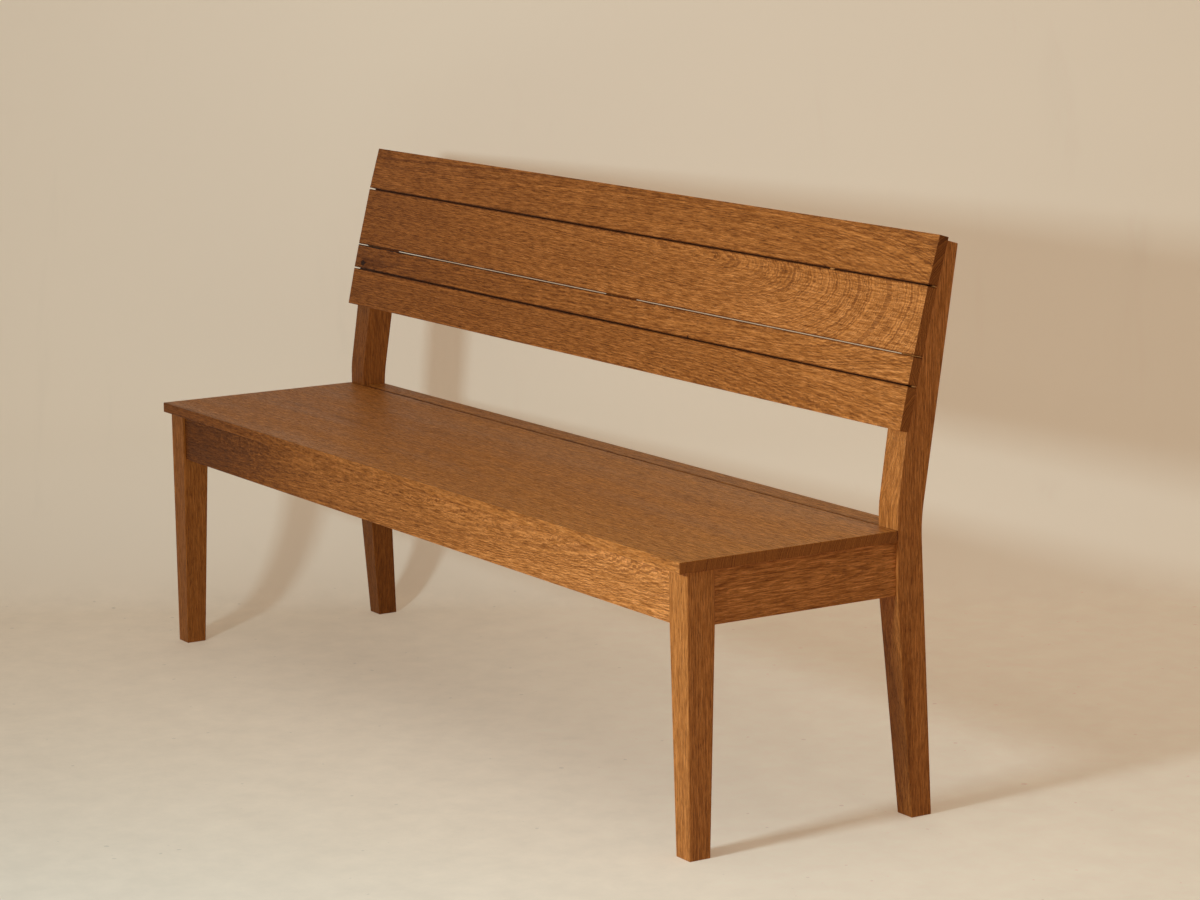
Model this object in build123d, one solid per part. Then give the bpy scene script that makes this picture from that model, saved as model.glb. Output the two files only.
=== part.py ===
from build123d import *
import os
from math import cos, radians, sin, sqrt, tan

# A long oak bench with a slatted back, in millimetres and degrees.
# X runs along the bench, the front faces -Y and Z is up. Left and right are as seen from the front.
# While the pieces are made, Y is zero at the front faces of the rear posts at seat level.
# The finished pieces are moved so that the origin is on the floor under the middle of the bench.

# Frame as a whole
span_over_legs = 1790
legs_to_posts = 391
seat_height = 466
edge_ease = 1
arris_radius = 1.5
knee_radius = 600

# Seat board, and the strip behind it that fills the way between the posts
seat_thickness = 18
seat_front_overhang = 15
seat_end_overhang = 2
strip_joint = 3
strip_width = 43

# Rails under the seat, each set back from the outer faces of the legs that it joins
rail_height = 87
rail_thickness = 24
front_rail_setback = 4
side_rail_setback = 5
rear_rail_setback = 5

# Front legs
leg_width = 50
front_foot_width = 38

# Rear posts: a foot that kicks back, a waist behind the seat and an upper part that leans back
post_width = 50
rear_foot_width = 38
rear_foot_depth = 38.5
rear_foot_kick = 28.5
waist_depth = 46.5
waist_rise = 9.5
waist_radius = 300
back_tilt = 9.2
front_bend_rise = 34
front_bend_radius = 200
flat_bend_radius = 60
front_lean = 8.5
post_top_drop = 5

# Back slats, each on its own flat of the posts
slat_end_overhang = 5
slat_thickness = 18
slat_edge_ease = 0.5
slat_gap = 2.2
open_slat_gap = 1.4
slat_row_rise = 153
top_slat_width = 78.3
second_slat_width = 108.5
third_slat_width = 44.6
bottom_slat_width = 69.8
top_slat_tilt = 16.5
second_slat_tilt = 14.4
third_slat_tilt = 13.7
bottom_slat_tilt = 12.45

# Upright behind the middle of the slats
upright_width = 35
upright_bottom_inset = 20

# Loose tongues that close the joints between two pairs of slats
tongue_thickness = 6
tongue_groove_depth = 10
tongue_stop = 13

# Rail tenons, and the stub tenons of the bearers
tenon_thickness = 10
tenon_length = 22
tenon_shoulder = 12
stub_length = 10
stub_height = 34

# Cross bearers under the seat board
bearer_thickness = 24
bearer_height = 60
bearer_screw_bite = 24
bearer_screw_inset = 70

# Corner blocks between the rails
block_height = 50
block_thickness = 24
block_leg_clearance = 1.5
block_groove_margin = 4
block_screw_bite = 10
block_screw_pitch = 28

# Wooden buttons that hold the seat board down and let it move with the seasons
button_length = 30
button_width = 24
button_thickness = 17
button_tongue_height = 8
button_tongue_length = 8
groove_height = 9
groove_depth = 9
groove_drop = 9.5
button_screw_inset = 12

# Wood screws
screw_radius = 2
screw_head_radius = 4
screw_head_depth = 2.2
screw_point_length = 4
screw_slot_width = 0.9
screw_slot_depth = 1.1
block_screw_length = 30
bearer_screw_length = 36
button_screw_length = 27

# Dowels
dowel_radius = 4
dowel_slat_depth = 12
dowel_post_depth = 18

# Clearances in the hidden joints
joint_clearance = 0.1
tongue_clearance = 0.3
hole_end_clearance = 1
overrun = 60

# Shares chosen by hand
dowel_place_shares = (0.4, 0.75)
bearer_place_shares = (-0.5, 0, 0.5)
front_button_place_shares = (-0.75, -0.25, 0.25, 0.75)
side_button_place_shares = (-0.25, 0.25)
strip_dowel_place_shares = (-0.9, -0.54, -0.18, 0.18, 0.54, 0.9)
slot_length_share = 1.2

# Places that follow from the sizes above
slat_length = span_over_legs + 2 * slat_end_overhang
outer_x = span_over_legs / 2
inner_x = outer_x - leg_width
post_inner_x = outer_x - post_width
post_middle = outer_x - post_width / 2
seat_underside = seat_height - seat_thickness
rail_underside = seat_underside - rail_height
leg_back = leg_width - legs_to_posts
front_rail_front = front_rail_setback - legs_to_posts
front_rail_back = front_rail_front + rail_thickness
side_rail_outer = outer_x - side_rail_setback
side_rail_inner = side_rail_outer - rail_thickness
waist = (waist_depth, seat_height + waist_rise)
rear_foot_back = rear_foot_kick + rear_foot_depth
post_back_at_seat = rear_foot_back + (waist_depth - rear_foot_back) * seat_underside / waist[1]
rear_rail_back = post_back_at_seat - rear_rail_setback
rear_rail_front = rear_rail_back - rail_thickness
front_bend_height = seat_height + front_bend_rise
slat_row_depth = (slat_row_rise - front_bend_rise) * tan(radians(front_lean))
slat_row_start = (slat_row_depth, seat_height + slat_row_rise)


def up_face(point, tilt, distance):
    """Go from a point of depth and height up a face that leans back by the tilt."""
    return (point[0] + distance * sin(radians(tilt)), point[1] + distance * cos(radians(tilt)))


def crossing(first, first_lean, second, second_lean):
    """Find where two lines cross in depth and height, each given by a point and its lean."""
    depth = (second[0] - first[0]) * cos(radians(second_lean))
    height = (second[1] - first[1]) * sin(radians(second_lean))
    distance = (depth - height) / sin(radians(first_lean - second_lean))
    return up_face(first, first_lean, distance)


def slat_seats():
    """List each slat from the bottom up: its lower back edge, tilt and width."""
    sizes = [
        (bottom_slat_tilt, bottom_slat_width, slat_gap),
        (third_slat_tilt, third_slat_width, open_slat_gap),
        (second_slat_tilt, second_slat_width, slat_gap),
        (top_slat_tilt, top_slat_width, 0),
    ]
    seats = []
    start = slat_row_start
    for tilt, width, gap in sizes:
        seats.append((start, tilt, width))
        start = up_face(start, tilt, width + gap)
    return seats


seats = slat_seats()
post_top_front = up_face(seats[-1][0], top_slat_tilt, top_slat_width - post_top_drop)
post_top_back = crossing(post_top_front, 90 + top_slat_tilt, waist, back_tilt)
seat_front = -legs_to_posts - seat_front_overhang
to_origin = Pos(0, -(seat_front + post_top_back[0]) / 2, 0)


def save(node, shape):
    """Write one piece, moved to the bench's own origin."""
    export_step(to_origin * shape, f"parts/{node}.step")


def save_pair(stem, right_piece):
    """Write a right-hand piece and its mirror image."""
    save(f"{stem}_right", right_piece)
    save(f"{stem}_left", mirror(right_piece, about=Plane.YZ))


def save_group(node, solids):
    """Write like pieces as one node of separate solids."""
    save(node, Compound(solids))


def prism(points, plane, length, bends=()):
    """Extrude an outline from its plane, with the bends named by point and radius made round."""
    outline = make_face(Polyline(*points, close=True).edges())
    for point, radius in bends:
        outline = fillet(outline.vertices().sort_by_distance((*point, 0))[0], radius=radius)
    return extrude(plane * outline, amount=length)


def eased(edges, radius=edge_ease):
    """Round the edges of a board that a hand meets."""
    return fillet(edges, radius=min(radius, seat_thickness / 4))


def end_edges(shape):
    """Pick the edges round the lower and the upper end of an upright piece."""
    faces = shape.faces().sort_by(Axis.Z)
    return faces[0].edges() + faces[-1].edges()


def eased_upright(shape):
    """Round the long edges and the ends of an upright piece, but not the lines where it bends."""
    ends = end_edges(shape)
    level = shape.edges().filter_by(Axis.X) + shape.edges().filter_by(Axis.Y)
    bends = [edge for edge in level if edge not in ends]
    return fillet([edge for edge in shape.edges() if edge not in bends], radius=arris_radius)


def post_outline():
    """The outline of a rear post from the side, from the foot up the front and down the back."""
    front = [(rear_foot_kick, 0), (0, rail_underside), (0, front_bend_height)]
    flats = [start for start, tilt, width in seats]
    back = [post_top_front, post_top_back, waist, (rear_foot_back, 0)]
    return front + flats + back


def tenon_bar(length, height, reach, top, clearance, end_clearance):
    """A bar through a rail along X that stands out at both ends as its tenons."""
    whole = length + 2 * (reach + end_clearance)
    bar = Box(whole, tenon_thickness + 2 * clearance, height + 2 * clearance)
    return Pos(0, rail_thickness / 2, -top - height / 2) * bar


def rail_tenons(length, clearance=0, end_clearance=0):
    """The two tenons of a rail."""
    height = rail_height - 2 * tenon_shoulder
    return tenon_bar(length, height, tenon_length, tenon_shoulder, clearance, end_clearance)


def rail(length, grooved):
    """A rail along X with its outer face at Y zero and its top at Z zero."""
    corner = (Align.CENTER, Align.MIN, Align.MAX)
    board = Box(length, rail_thickness, rail_height, align=corner)
    lower = board.edges().filter_by(Axis.X).sort_by(Axis.Z)[:2]
    board = eased(lower) + rail_tenons(length)
    if grooved:
        back_top = (Align.CENTER, Align.MAX, Align.MAX)
        groove = Box(length, groove_depth, groove_height, align=back_top)
        board -= Pos(0, rail_thickness, -groove_drop) * groove
    return board


front_rail_length = 2 * inner_x
rear_rail_length = 2 * post_inner_x
side_rail_length = -leg_back
bearer_length = rear_rail_front - front_rail_back
front_rail_place = Pos(0, front_rail_front, seat_underside)
rear_rail_place = Pos(0, rear_rail_back, seat_underside) * Rot(0, 0, 180)
side_rail_place = Pos(side_rail_outer, leg_back / 2, seat_underside) * Rot(0, 0, 90)


def bearer_place(x):
    """Where a bearer lies, at a place along the bench."""
    middle = (front_rail_back + rear_rail_front) / 2
    return Pos(x + rail_thickness / 2, middle, seat_underside) * Rot(0, 0, 90)


def bearer_stubs(clearance=0, end_clearance=0):
    """The stub tenons of a bearer, along its lower edge."""
    top = bearer_height - stub_height
    return tenon_bar(bearer_length, stub_height, stub_length, top, clearance, end_clearance)


def bearer():
    """A bearer along X with its top at Z zero."""
    under_top = (Align.CENTER, Align.CENTER, Align.MAX)
    board = Box(bearer_length, bearer_thickness, bearer_height, align=under_top)
    return Pos(0, rail_thickness / 2, 0) * board + bearer_stubs()


def screw(length):
    """A countersunk wood screw with its head's face at Z zero and its point up."""
    outline = [
        (0, 0),
        (screw_head_radius, 0),
        (screw_radius, screw_head_depth),
        (screw_radius, length - screw_point_length),
        (0, length),
    ]
    body = revolve(Plane.XZ * make_face(Polyline(*outline, close=True).edges()), axis=Axis.Z)
    slot_length = slot_length_share * screw_head_radius
    for size in ((slot_length, screw_slot_width), (screw_slot_width, slot_length)):
        body -= Box(*size, 2 * screw_slot_depth)
    return body


def screw_hole(length):
    """The hole of a screw, with its countersink and the way in for the head."""
    head = screw_head_radius + joint_clearance
    shank = screw_radius + joint_clearance
    end = length + hole_end_clearance
    outline = [
        (0, -overrun),
        (head, -overrun),
        (head, 0),
        (shank, screw_head_depth),
        (shank, end),
        (0, end),
    ]
    return revolve(Plane.XZ * make_face(Polyline(*outline, close=True).edges()), axis=Axis.Z)


def dowel(upper_depth, lower_depth, clearance=0, end_clearance=0):
    """A dowel along Z that goes up and down from Z zero."""
    length = upper_depth + lower_depth + 2 * end_clearance
    return Pos(0, 0, (upper_depth - lower_depth) / 2) * Cylinder(dowel_radius + clearance, length)


def dowel_hole():
    """The hole of a dowel, with its clearances."""
    return dowel(dowel_slat_depth, dowel_post_depth, joint_clearance, hole_end_clearance)


def slat_place(seat):
    """Where a slat lies: its lower back edge, tilted on the posts' flat."""
    (depth, height), tilt, width = seat
    return Pos(0, depth, height) * Rot(-tilt, 0, 0)


def slat_dowel_places(x):
    """Where the slat dowels lie on one post or upright, pointing forward into the slats."""
    places = []
    for seat in seats:
        for share in dowel_place_shares:
            places.append(slat_place(seat) * Pos(x, 0, share * seat[2]) * Rot(90, 0, 0))
    return places


def slat_dowel_holes(x):
    """The holes for the slat dowels of one post or upright."""
    return [place * dowel_hole() for place in slat_dowel_places(x)]


def tongue_place(lower, upper):
    """Where a tongue lies: in the middle of the gap between two slats, at their mean tilt."""
    start, tilt, width = lower
    depth, height = up_face(start, tilt, width + slat_gap / 2)
    mean_tilt = (tilt + upper[1]) / 2
    return Pos(0, depth, height) * Rot(-mean_tilt, 0, 0) * Pos(0, -slat_thickness / 2, 0)


def tongue():
    """A loose tongue that joins two slats edge to edge."""
    width = 2 * tongue_groove_depth + slat_gap - 2 * tongue_clearance
    return Box(slat_length - 2 * tongue_stop, tongue_thickness, width)


def slat(seat, grooved_edge):
    """A back slat, grooved along its lower or its upper edge."""
    width = seat[2]
    board = Box(slat_length, slat_thickness, width, align=(Align.CENTER, Align.MAX, Align.MIN))
    board = eased(board.edges(), slat_edge_ease)
    groove_length = slat_length - 2 * tongue_stop + 2 * tongue_clearance
    groove = Box(groove_length, tongue_thickness + 2 * tongue_clearance, 2 * tongue_groove_depth)
    height = width if grooved_edge == "upper" else 0
    board -= Pos(0, -slat_thickness / 2, height) * groove
    board = slat_place(seat) * board
    for x in (-post_middle, 0, post_middle):
        board -= slat_dowel_holes(x)
    return board


def leg_section(width, height):
    """The rounded square section of the right front leg, flush with its two outer faces."""
    corner = Pos(outer_x - width / 2, width / 2 - legs_to_posts, height)
    return corner * RectangleRounded(width, width, arris_radius)


def front_leg():
    """The right front leg, square behind the rails and tapered on both inner faces below them."""
    foot = leg_section(front_foot_width, 0)
    knee = leg_section(leg_width, rail_underside)
    top = leg_section(leg_width, seat_underside)
    leg = eased(end_edges(loft([foot, knee, top], ruled=True)))
    leg -= front_rail_place * rail_tenons(front_rail_length, joint_clearance, hole_end_clearance)
    leg -= side_rail_place * rail_tenons(side_rail_length, joint_clearance, hole_end_clearance)
    return leg


def rear_post():
    """The right rear post, bent at its waist, flat for each slat and tapered below the rails."""
    top = post_top_front[1] + overrun
    reach = post_top_back[0] + overrun
    front_bends = [((0, rail_underside), knee_radius), ((0, front_bend_height), front_bend_radius)]
    flat_bends = [(start, flat_bend_radius) for start, tilt, width in seats]
    bends = front_bends + flat_bends + [(waist, waist_radius)]
    side = prism(post_outline(), Plane.YZ.offset(post_inner_x), post_width, bends)
    knee = (post_inner_x, rail_underside)
    foot_inner_x = outer_x - rear_foot_width
    across = [(foot_inner_x, 0), (outer_x, 0), (outer_x, top), (post_inner_x, top), knee]
    front = prism(across, Plane.XZ.offset(-reach), reach + overrun, [(knee, knee_radius)])
    post = eased_upright(side & front)
    post -= rear_rail_place * rail_tenons(rear_rail_length, joint_clearance, hole_end_clearance)
    post -= side_rail_place * rail_tenons(side_rail_length, joint_clearance, hole_end_clearance)
    post -= slat_dowel_holes(post_middle)
    return post


def centre_upright():
    """The upright behind the middle of the slats, in line with the rear posts."""
    start, tilt, width = seats[0]
    bottom_front = up_face(start, tilt, upright_bottom_inset)
    bottom_back = crossing(bottom_front, 90 + tilt, waist, back_tilt)
    flats = [seat[0] for seat in seats[1:]]
    outline = [bottom_front] + flats + [post_top_front, post_top_back, bottom_back]
    bends = [(flat, flat_bend_radius) for flat in flats]
    side_plane = Plane.YZ.offset(-upright_width / 2)
    upright = eased_upright(prism(outline, side_plane, upright_width, bends))
    upright -= slat_dowel_holes(0)
    return upright


def corner_block():
    """A corner block for a corner at the origin whose rails run along X and Y."""
    beyond_side_rail = leg_width - side_rail_setback - rail_thickness
    beyond_front_rail = leg_width - front_rail_setback - rail_thickness
    near = beyond_side_rail + beyond_front_rail + block_leg_clearance
    far = near + block_thickness * sqrt(2)
    outline = [(near, 0), (far, 0), (0, far), (0, near)]
    block = prism(outline, Plane.XY.offset(-block_height / 2), block_height)
    middle = (near + far) / 2
    places = []
    for height in (-block_screw_pitch / 2, block_screw_pitch / 2):
        places.append(Pos(middle, block_screw_bite, height) * Rot(90, 0, 0))
        places.append(Pos(block_screw_bite, middle, height) * Rot(0, -90, 0))
    return block, places


block_top = seat_underside - groove_drop - groove_height - block_groove_margin
block_level = block_top - block_height / 2
front_corner = Pos(side_rail_inner, front_rail_back, block_level) * Rot(0, 0, 90)
rear_corner = Pos(side_rail_inner, rear_rail_front, block_level) * Rot(0, 0, 180)


def button():
    """A button whose tongue points along -Y into the rail's groove, with its top at Z zero."""
    low_front = (Align.CENTER, Align.MIN, Align.MAX)
    body = Box(button_width, button_length, button_thickness, align=low_front)
    body = eased(body.edges().filter_by(Axis.X).sort_by(Axis.Z)[:2])
    tongue_box = Box(
        button_width,
        button_tongue_length,
        button_tongue_height,
        align=(Align.CENTER, Align.MAX, Align.MAX),
    )
    drop = groove_drop + (groove_height - button_tongue_height) / 2
    return body + Pos(0, 0, -drop) * tongue_box


def button_places():
    """Where the buttons lie, along the front rail and both side rails."""
    places = []
    for share in front_button_place_shares:
        places.append(Pos(share * inner_x, front_rail_back, seat_underside))
    for share in side_button_place_shares:
        y = leg_back / 2 + share * side_rail_length
        places.append(Pos(side_rail_inner, y, seat_underside) * Rot(0, 0, 90))
        places.append(Pos(-side_rail_inner, y, seat_underside) * Rot(0, 0, -90))
    return places


button_screw_place = Pos(0, button_length - button_screw_inset, -button_thickness)
button_screw_places = [place * button_screw_place for place in button_places()]


def bearer_screw_places():
    """Where the bearer screws lie, two to a bearer, in deep holes from below."""
    places = []
    for share in bearer_place_shares:
        for y in (front_rail_back + bearer_screw_inset, -bearer_screw_inset):
            places.append(Pos(share * inner_x, y, seat_underside - bearer_screw_bite))
    return places


def mirrored(shapes):
    """The same shapes on both sides of the bench."""
    return shapes + [mirror(shape, about=Plane.YZ) for shape in shapes]


def strip_dowel_places():
    """Where the dowels lie between the rear rail and the strip above it."""
    y = (rear_rail_front + rear_rail_back) / 2
    return [Pos(share * post_inner_x, y, seat_underside) for share in strip_dowel_place_shares]


def seat_board():
    """The seat board, which reaches the front faces of the posts."""
    length = span_over_legs + 2 * seat_end_overhang
    low_front = (Align.CENTER, Align.MIN, Align.MIN)
    board = Box(length, -seat_front, seat_thickness, align=low_front)
    board = Pos(0, seat_front, seat_underside) * eased(board.edges())
    board -= [place * screw_hole(button_screw_length) for place in button_screw_places]
    board -= [place * screw_hole(bearer_screw_length) for place in bearer_screw_places()]
    return board


def rear_strip():
    """The strip between the posts, flush with the seat board."""
    length = 2 * post_inner_x
    low_front = (Align.CENTER, Align.MIN, Align.MIN)
    strip = Box(length, strip_width, seat_thickness, align=low_front)
    strip = Pos(0, strip_joint, seat_underside) * eased(strip.edges())
    strip -= [place * dowel_hole() for place in strip_dowel_places()]
    return strip


os.makedirs("parts", exist_ok=True)

block, block_screw_spots = corner_block()
block_hole = screw_hole(block_screw_length)
block -= [spot * block_hole for spot in block_screw_spots]
front_block_holes = [front_corner * spot * block_hole for spot in block_screw_spots]
rear_block_holes = [rear_corner * spot * block_hole for spot in block_screw_spots]
stub_holes = [
    bearer_place(share * inner_x) * bearer_stubs(joint_clearance, hole_end_clearance)
    for share in bearer_place_shares
]

save_pair("front_leg", front_leg())
save_pair("rear_post", rear_post())

front_rail = front_rail_place * rail(front_rail_length, True)
front_rail -= mirrored(front_block_holes)
front_rail -= stub_holes
save("front_rail", front_rail)

rear_rail = rear_rail_place * rail(rear_rail_length, False)
rear_rail -= mirrored(rear_block_holes)
rear_rail -= stub_holes
rear_rail -= [place * dowel_hole() for place in strip_dowel_places()]
save("rear_rail", rear_rail)

side_rail = side_rail_place * rail(side_rail_length, True)
side_rail -= front_block_holes
side_rail -= rear_block_holes
save_pair("side_rail", side_rail)

save("seat_board", seat_board())
save("seat_rear_strip", rear_strip())

grooved_edges = ("upper", "lower", "upper", "lower")
for number, seat, grooved_edge in zip((4, 3, 2, 1), seats, grooved_edges):
    save(f"back_slat_{number}", slat(seat, grooved_edge))
save("upper_slat_tongue", tongue_place(seats[2], seats[3]) * tongue())
save("lower_slat_tongue", tongue_place(seats[0], seats[1]) * tongue())
save("centre_upright", centre_upright())

for name, share in zip(("left", "middle", "right"), bearer_place_shares):
    piece = bearer_place(share * inner_x) * bearer()
    piece -= [place * screw_hole(bearer_screw_length) for place in bearer_screw_places()]
    save(f"seat_bearer_{name}", piece)

save_pair("corner_block_front", front_corner * block)
save_pair("corner_block_rear", rear_corner * block)
drilled_button = button() - button_screw_place * screw_hole(button_screw_length)
save_group("seat_buttons", [place * drilled_button for place in button_places()])

block_screws = [
    corner * spot * screw(block_screw_length)
    for corner in (front_corner, rear_corner)
    for spot in block_screw_spots
]
save_group("corner_block_screws", mirrored(block_screws))
button_screws = [place * screw(button_screw_length) for place in button_screw_places]
save_group("seat_button_screws", button_screws)
bearer_screws = [place * screw(bearer_screw_length) for place in bearer_screw_places()]
save_group("bearer_screws", bearer_screws)

slat_dowels = [
    place * dowel(dowel_slat_depth, dowel_post_depth)
    for x in (-post_middle, 0, post_middle)
    for place in slat_dowel_places(x)
]
save_group("slat_dowels", slat_dowels)
strip_dowels = [place * dowel(dowel_slat_depth, dowel_post_depth) for place in strip_dowel_places()]
save_group("strip_dowels", strip_dowels)
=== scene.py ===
"""A mission settle in oiled oak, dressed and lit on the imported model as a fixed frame."""
import math
from typing import NamedTuple

import bpy
from mathutils import Matrix, Vector


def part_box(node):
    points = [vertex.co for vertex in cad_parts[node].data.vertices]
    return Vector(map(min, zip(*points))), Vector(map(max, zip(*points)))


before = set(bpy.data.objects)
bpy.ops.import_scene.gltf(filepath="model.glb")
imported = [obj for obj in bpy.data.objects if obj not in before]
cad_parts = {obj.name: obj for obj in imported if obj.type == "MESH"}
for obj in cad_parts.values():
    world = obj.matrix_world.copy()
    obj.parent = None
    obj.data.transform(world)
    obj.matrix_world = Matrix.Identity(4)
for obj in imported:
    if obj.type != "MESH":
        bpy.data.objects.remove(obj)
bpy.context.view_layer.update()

bl_info = {
    "name": "Mission Settle",
    "version": (1, 0, 0),
    "blender": (4, 5, 0),
    "location": "3D View > Sidebar > Settle",
    "description": "Oiled oak, screws, floor, light and camera for a slatted mission settle",
    "category": "Object",
}


# Sizes and colours that a user may change

class SettleOak(bpy.types.PropertyGroup):
    """Colours and figure of the oiled oak."""

    latewood: bpy.props.FloatVectorProperty(
        name="Latewood",
        description="Colour of the dense wood between two bands of pores",
        subtype="COLOR",
        size=3,
        min=0.0,
        max=1.0,
        default=(0.535, 0.172, 0.0337),
    )
    earlywood: bpy.props.FloatVectorProperty(
        name="Earlywood",
        description="Colour of the porous bands, which drink more oil",
        subtype="COLOR",
        size=3,
        min=0.0,
        max=1.0,
        default=(0.294, 0.082, 0.0139),
    )
    ray: bpy.props.FloatVectorProperty(
        name="Rays",
        description="Colour of the pale rays that cross the rings",
        subtype="COLOR",
        size=3,
        min=0.0,
        max=1.0,
        default=(0.600, 0.230, 0.058),
    )
    pore: bpy.props.FloatVectorProperty(
        name="Pores",
        description="Colour at the bottom of the open pores",
        subtype="COLOR",
        size=3,
        min=0.0,
        max=1.0,
        default=(0.090, 0.025, 0.007),
    )
    ring_width: bpy.props.FloatProperty(
        name="Ring width",
        description="Growth of the tree in one year",
        subtype="DISTANCE",
        unit="LENGTH",
        min=0.0005,
        max=0.02,
        default=0.0026,
    )
    pore_depth: bpy.props.FloatProperty(
        name="Pore depth",
        description="Depth of the open pores under the oil",
        subtype="DISTANCE",
        unit="LENGTH",
        min=0.0,
        max=0.002,
        default=0.00025,
    )
    roughness: bpy.props.FloatProperty(
        name="Roughness",
        description="Roughness of the oiled surface between the pores",
        subtype="FACTOR",
        min=0.0,
        max=1.0,
        default=0.46,
    )


class SettleStage(bpy.types.PropertyGroup):
    """Floor, backdrop, light and camera."""

    floor: bpy.props.FloatVectorProperty(
        name="Backdrop",
        description="Colour of the seamless floor and wall",
        subtype="COLOR",
        size=3,
        min=0.0,
        max=1.0,
        default=(0.800, 0.680, 0.550),
    )
    wall_distance: bpy.props.FloatProperty(
        name="Wall distance",
        description="From the middle of the bench to the wall, along the view",
        subtype="DISTANCE",
        unit="LENGTH",
        min=0.5,
        default=1.124,
    )
    wall_turn: bpy.props.FloatProperty(
        name="Wall turn",
        description="Turn of the wall from square to the view",
        subtype="ANGLE",
        unit="ROTATION",
        default=math.radians(-2.0),
    )
    cove_radius: bpy.props.FloatProperty(
        name="Cove radius",
        description="Radius of the sweep between floor and wall",
        subtype="DISTANCE",
        unit="LENGTH",
        min=0.01,
        default=0.30,
    )
    key_power: bpy.props.FloatProperty(
        name="Key lamp",
        description="Power of the soft lamp at the front",
        subtype="POWER",
        unit="POWER",
        min=0.0,
        default=58.0,
    )
    top_power: bpy.props.FloatProperty(
        name="Top lamp",
        description="Power of the wide lamp overhead",
        subtype="POWER",
        unit="POWER",
        min=0.0,
        default=12.0,
    )
    sky_strength: bpy.props.FloatProperty(
        name="Room light",
        description="Strength of the even light from all round",
        min=0.0,
        default=0.31,
    )
    lens: bpy.props.FloatProperty(
        name="Lens",
        description="Focal length of the camera",
        subtype="DISTANCE_CAMERA",
        unit="CAMERA",
        min=10.0,
        default=106.73,
    )


# Node helpers

# Nodes stand in rows of this many, and this far apart in the node editor.
NODES_IN_ROW = 12
NODE_STEP = (190, -260)
# The middle value of every noise.
NOISE_MIDDLE = 0.5


def add(tree, kind, feeds=None, **settings):
    """Adds one node; feeds maps an input's name or number to a value or to an output."""
    node = tree.nodes.new(kind)
    row, column = divmod(len(tree.nodes), NODES_IN_ROW)
    node.location = (NODE_STEP[0] * column, NODE_STEP[1] * row)
    for key, value in settings.items():
        setattr(node, key, value)
    for key, value in (feeds or {}).items():
        if isinstance(value, bpy.types.NodeSocket):
            tree.links.new(value, node.inputs[key])
        else:
            node.inputs[key].default_value = value
    return node


def calc(tree, operation, *terms, clamp=False):
    """One Math node's output."""
    feeds = dict(enumerate(terms))
    return add(tree, "ShaderNodeMath", feeds, operation=operation, use_clamp=clamp).outputs[0]


def times(tree, first, second):
    """A number times another."""
    return calc(tree, "MULTIPLY", first, second)


def scale_add(tree, value, factor, base, clamp=False):
    """A number times a factor, plus a base."""
    return calc(tree, "MULTIPLY_ADD", value, factor, base, clamp=clamp)


def vector(tree, operation, *terms):
    """One Vector Math node's vector."""
    feeds = dict(enumerate(terms))
    return add(tree, "ShaderNodeVectorMath", feeds, operation=operation).outputs[0]


def length(tree, value):
    """The length of a vector."""
    return add(tree, "ShaderNodeVectorMath", {0: value}, operation="LENGTH").outputs[1]


def scaled(tree, value, factor):
    """A vector times a number, where both may be outputs."""
    feeds = {0: value, "Scale": factor}
    return add(tree, "ShaderNodeVectorMath", feeds, operation="SCALE").outputs[0]


def split(tree, value):
    """The three numbers of a vector."""
    return add(tree, "ShaderNodeSeparateXYZ", {0: value}).outputs


def join(tree, x=0.0, y=0.0, z=0.0):
    """A vector of three numbers."""
    return add(tree, "ShaderNodeCombineXYZ", {0: x, 1: y, 2: z}).outputs[0]


def mix(tree, factor, first, second, blend="MIX"):
    """One colour Mix node's output."""
    feeds = {0: factor, 6: first, 7: second}
    return add(tree, "ShaderNodeMix", feeds, data_type="RGBA", blend_type=blend).outputs[2]


def ramp(tree, value, low, high, to_low=0.0, to_high=1.0):
    """Maps low..high smoothly to to_low..to_high and holds the ends."""
    feeds = {0: value, 1: low, 2: high, 3: to_low, 4: to_high}
    return add(tree, "ShaderNodeMapRange", feeds, interpolation_type="SMOOTHSTEP").outputs[0]


def noise(tree, position, scale, detail, roughness=0.5, distortion=0.0):
    """Noise of about 0.3 to 0.7 at a position stretched by scale, in features per metre."""
    stretched = vector(tree, "MULTIPLY", position, scale)
    feeds = {"Vector": stretched, "Scale": 1.0, "Detail": detail, "Roughness": roughness,
             "Distortion": distortion}
    return add(tree, "ShaderNodeTexNoise", feeds).outputs[0]


def swing(tree, position, scale, detail, roughness=0.5):
    """The same noise about zero, so of about -0.2 to 0.2."""
    value = noise(tree, position, scale, detail, roughness)
    return calc(tree, "SUBTRACT", value, NOISE_MIDDLE)


def group(name, inputs, outputs):
    """An empty shader node group with its sockets; gives the tree and its two end nodes."""
    tree = bpy.data.node_groups.new(name, "ShaderNodeTree")
    for socket, kind, default in inputs:
        made = tree.interface.new_socket(socket, in_out="INPUT", socket_type="NodeSocket" + kind)
        if default is not None:
            made.default_value = default
    for socket, kind in outputs:
        tree.interface.new_socket(socket, in_out="OUTPUT", socket_type="NodeSocket" + kind)
    start = tree.nodes.new("NodeGroupInput")
    end = tree.nodes.new("NodeGroupOutput")
    return tree, start.outputs, end


def use(tree, name, feeds):
    """Places a shader node group in a tree and gives its outputs."""
    return add(tree, "ShaderNodeGroup", feeds, node_tree=bpy.data.node_groups[name]).outputs


def give(tree, end, **outs):
    """Joins values to the group's outputs; an underscore in a name stands for a space."""
    for name, value in outs.items():
        tree.links.new(value, end.inputs[name.replace("_", " ")])


# Shared effects: a board's own axes

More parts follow.
